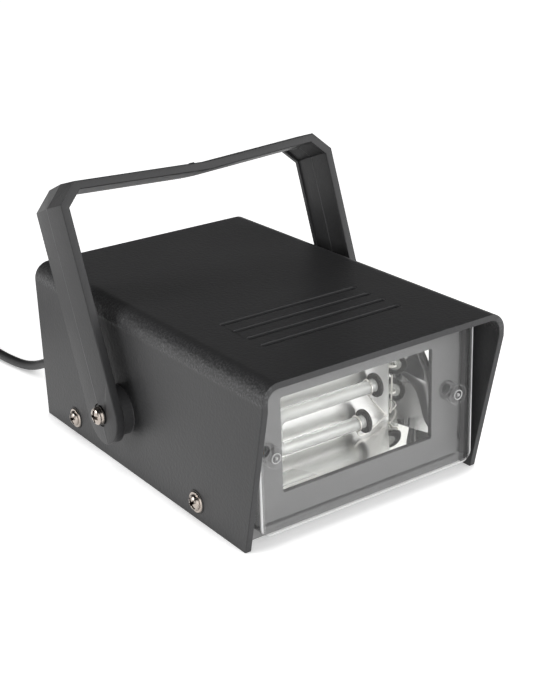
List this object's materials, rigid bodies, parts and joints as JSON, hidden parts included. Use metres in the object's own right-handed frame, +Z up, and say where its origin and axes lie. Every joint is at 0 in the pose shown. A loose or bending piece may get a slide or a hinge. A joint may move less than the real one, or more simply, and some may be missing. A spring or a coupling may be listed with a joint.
{
  "type": "xenon stroboscope",
  "caption": "Compact xenon stroboscope: plastic housing with a clear front window over a mirror reflector, hanging bracket, speed knob and mains cord.",
  "frame": {"origin": "middle of the housing's underside, where it rests on the table", "axes": "-Y is the way the light goes, +Y is the rear panel with the knob and the cord, +Z is up"},
  "size_m": [0.1969, 0.396, 0.1307],
  "materials": {
    "cover_plastic": "fine leather grain",
    "bracket_plastic": "fine grain",
    "tray_plastic": "fine grain, mid grey",
    "clear_plastic": "clear, polished",
    "mirror_sheet": "polished",
    "tube_glass": "clear, polished",
    "nickel_wire": "drawn",
    "nickel_plate": "warm nickel plate",
    "spring_steel": "oiled dark",
    "bright_steel": "zinc plate",
    "grommet_rubber": "matt",
    "board_laminate": "solder mask",
    "can_sleeve": "shrunk sleeve",
    "film_case": "moulded",
    "winding": "enamelled wire",
    "cement_case": "matt",
    "diode_black": "moulded",
    "fuse_glass": "clear",
    "terminal_plastic": "moulded",
    "lead_insulation": "smooth",
    "knob_plastic": "satin",
    "cord_sheath": "smooth PVC",
    "tie_plastic": "smooth",
    "pin_plate": "nickel plate"
  },
  "bodies": {
    "housing": {"top_cover": "cover_plastic", "base_tray": "tray_plastic", "lens_plate": "clear_plastic", "reflector": "mirror_sheet", "flash_tube": "tube_glass", "tube_electrodes": "nickel_wire", "tube_grommets": "grommet_rubber", "trigger_wire": "nickel_wire", "side_screws": "nickel_plate", "board_screws": "bright_steel", "pivot_screws": "nickel_plate", "pivot_spring_washers": "spring_steel", "pivot_nuts": "bright_steel", "speed_control": "bright_steel", "control_washer": "bright_steel", "control_nut": "bright_steel", "circuit_board": "board_laminate", "storage_capacitors": "can_sleeve", "film_capacitor": "film_case", "trigger_transformer": "winding", "ballast_resistor": "cement_case", "rectifier_diodes": "diode_black", "fuse": "fuse_glass", "fuse_clips": "bright_steel", "mains_terminal": "terminal_plastic", "mains_leads": "lead_insulation", "control_leads": "lead_insulation", "strain_relief": "cord_sheath", "power_cord": "cord_sheath", "cord_tie": "tie_plastic", "power_cord_coil": "cord_sheath", "power_cord_tail": "cord_sheath", "plug_body": "cord_sheath", "plug_pins": "pin_plate"},
    "bracket": {"bracket": "bracket_plastic"},
    "speed_knob": {"speed_knob": "knob_plastic", "control_shaft": "bright_steel"}
  },
  "joints": [
    {"name": "bracket_tilt", "type": "hinge", "parent": "housing", "child": "bracket", "pos_m": [0, 0.0171, 0.03], "axis": [-1, 0, 0], "range_deg": [-70, 62]},
    {"name": "speed_turn", "type": "hinge", "parent": "housing", "child": "speed_knob", "pos_m": [0.028, 0.095, 0.038], "axis": [0, 1, 0], "range_deg": [-150, 150]}
  ]
}
